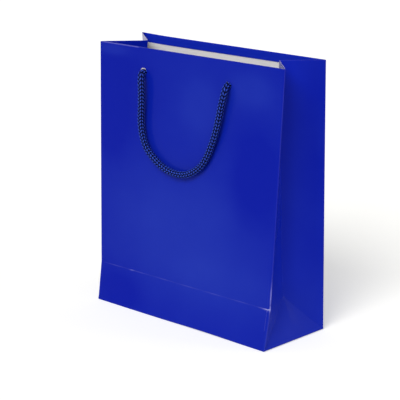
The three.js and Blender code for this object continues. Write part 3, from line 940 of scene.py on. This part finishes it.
cord_fibre = braided_fibre()
for panel, node in (("front", "front_handle_cord"), ("back", "back_handle_cord")):
    route = knot_points(panel, -1)
    route.append(beside_panel(panel, HOLE_PLACES[0], HOLE_HEIGHT - CORD_DROP[-1], 0))
    for place, fall, gap in LOOP:
        across = hole_middle + place * hole_reach
        route.append(beside_panel(panel, across, HOLE_HEIGHT - fall, CORD_DIAMETER / 2 + gap))
    route.append(beside_panel(panel, HOLE_PLACES[1], HOLE_HEIGHT - CORD_DROP[1], 0))
    route += reversed(knot_points(panel, 1))
    line, length = through_points(route, RING_STEP)
    tangents = np.gradient(line, axis=0)
    tangents /= np.linalg.norm(tangents, axis=1)[:, None]
    side = np.cross(tangents[0], (0, 0, 1.0))
    side /= np.linalg.norm(side)
    angles = np.arange(CORD_AROUND) * 2 * math.pi / CORD_AROUND
    column = angles / (2 * math.pi) * STITCH_COLUMNS
    lean = np.where(np.floor(column) % 2 == 0, 1, -1)
    stagger = np.floor(column / 2) % 2 / 2
    across = (column % 1 - 0.5) * math.pi * CORD_DIAMETER / STITCH_COLUMNS
    rings, stitches, strands = [], [], []
    for i, (centre, tangent) in enumerate(zip(line, tangents)):
        side -= tangent * (side @ tangent)
        side /= np.linalg.norm(side)
        other = np.cross(tangent, side)
        place = (i * RING_STEP + lean * STITCH_SLANT * across) / STITCH_LENGTH + stagger
        ends = np.abs(2 * (place % 1) - 1)
        beside = np.abs(2 * (column % 1) - 1)
        swell = np.sqrt(1 - STITCH_ROUND * beside**2) * (1 - STITCH_GAP * ends**2)
        close = min(i, len(line) - 1 - i) * RING_STEP
        taper = math.sqrt(max(1 - max(0, 1 - close / END_TAPER) ** 2, TIP_SIZE))
        radius = (CORD_DIAMETER / 2 + STITCH_DEPTH * (swell - STITCH_LEVEL)) * taper
        sideways = np.outer(radius * np.cos(angles), side)
        rings.append(centre + sideways + np.outer(radius * np.sin(angles), other))
        stitches.append(swell)
        along = lean * (place % 1 - 0.5) * STITCH_LENGTH * THREAD_SLANT
        strands.append((across - along) * MM_IN_A_METRE)
    points = np.concatenate([*rings, line[:1], line[-1:]])
    faces = tube_faces(len(rings), CORD_AROUND)
    last_ring = (len(rings) - 1) * CORD_AROUND
    first_tip, last_tip = last_ring + CORD_AROUND, last_ring + CORD_AROUND + 1
    for k in range(CORD_AROUND):
        beyond = (k + 1) % CORD_AROUND
        faces.append((first_tip, beyond, k))
        faces.append((last_tip, last_ring + k, last_ring + beyond))
    cord_mesh = bpy.data.meshes.new(panel + "_braided_cord")
    cord_mesh.from_pydata(points.tolist(), [], faces)
    for name, values in (("stitch", stitches), ("strand", strands)):
        flat = np.concatenate([*values, [0.5, 0.5]]).astype(np.float32)
        cord_mesh.attributes.new(name, "FLOAT", "POINT").data.foreach_set("value", flat)
    cord_mesh.materials.append(cord_fibre)
    cord = bpy.data.objects.new(panel + "_braided_cord", cord_mesh)
    bpy.context.collection.objects.link(cord)
    only(cord)
    bpy.ops.object.shade_smooth()
    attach(cord, "root")
    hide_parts(node)
    beside_panel(panel, HOLE_PLACES[0], HOLE_HEIGHT, -KNOT_FACE)

# The studio: a white floor that keeps the bag's soft shadow, a plain white surround, a broad lamp in front,
# weaker ones at the left and at the right behind the bag, and the camera at the photograph's angle.
WHITE = (1, 1, 1, 1)
FLOOR_SIZE = 12
FLOOR_COLOR = (0.93, 0.926, 0.885, 1)
FLOOR_GLOW = 0.375
SURROUND_LIGHT = 0.30
LAMPS = {
    "front_lamp": {"strength": 2.02, "angle": 32, "from_front": 17, "height": 40},
    "left_lamp": {"strength": 0.10, "angle": 26, "from_front": -42, "height": 24},
    "back_lamp": {"strength": 0.95, "angle": 20, "from_front": 119, "height": 5},
}
CAMERA_AIM = Vector((-0.0050, -0.0106, 0.1335))
CAMERA_DISTANCE = 1.829
CAMERA_YAW, CAMERA_PITCH, CAMERA_ROLL = (math.radians(a) for a in (42.168, 15.262, 0.777))
CAMERA_LENS = 149.83


def seen_white(finish):
    """1 for a ray from the camera, or from a mirror or glass, and 0 for light on the object."""
    kinds = ("Camera", "Glossy", "Transmission")
    rays = [finish.node("ShaderNodeLightPath", out=f"Is {kind} Ray") for kind in kinds]
    return finish.node("ShaderNodeMath", {"operation": "MINIMUM"}, {0: rays[0] + rays[1] + rays[2], 1: 1.0})


bpy.ops.object.select_all(action="DESELECT")
bpy.ops.mesh.primitive_plane_add(size=FLOOR_SIZE)
floor = bpy.context.object
floor.name = "studio_floor"
f = Finish(bpy.data.materials.new("studio_floor"))
plain = f.node("ShaderNodeBsdfDiffuse", None, {"Color": FLOOR_COLOR})
glow = f.node("ShaderNodeEmission", None, {"Color": WHITE, "Strength": seen_white(f) * FLOOR_GLOW})
both = f.node("ShaderNodeAddShader", None, {0: plain, 1: glow})
f.node("ShaderNodeOutputMaterial", None, {"Surface": both})
floor.data.materials.append(f.owner)

surround = Finish(bpy.data.worlds.new("studio_surround"))
level = SURROUND_LIGHT + (1 - SURROUND_LIGHT) * seen_white(surround)
sky = surround.node("ShaderNodeBackground", None, {"Color": WHITE, "Strength": level})
surround.node("ShaderNodeOutputWorld", None, {"Surface": sky})
bpy.context.scene.world = surround.owner

for name, lamp in LAMPS.items():
    light = bpy.data.lights.new(name, "SUN")
    light.energy = lamp["strength"]
    light.angle = math.radians(lamp["angle"])
    stand = bpy.data.objects.new(name, light)
    stand.rotation_euler = (math.radians(90 - lamp["height"]), 0, math.radians(lamp["from_front"]))
    bpy.context.collection.objects.link(stand)

camera_data = bpy.data.cameras.new("camera")
camera_data.lens = CAMERA_LENS
camera = bpy.data.objects.new("camera", camera_data)
across = Vector((math.cos(CAMERA_YAW), math.sin(CAMERA_YAW), 0))
back = Vector(
    (
        math.sin(CAMERA_YAW) * math.cos(CAMERA_PITCH),
        -math.cos(CAMERA_YAW) * math.cos(CAMERA_PITCH),
        math.sin(CAMERA_PITCH),
    )
)
above = back.cross(across)
right = math.cos(CAMERA_ROLL) * across + math.sin(CAMERA_ROLL) * above
upright = -math.sin(CAMERA_ROLL) * across + math.cos(CAMERA_ROLL) * above
camera.matrix_world = Matrix.Translation(CAMERA_AIM + back * CAMERA_DISTANCE) @ Matrix(
    (right, upright, back)
).transposed().to_4x4()
bpy.context.collection.objects.link(camera)
bpy.context.scene.camera = camera
bpy.context.scene.view_settings.view_transform = "Standard"
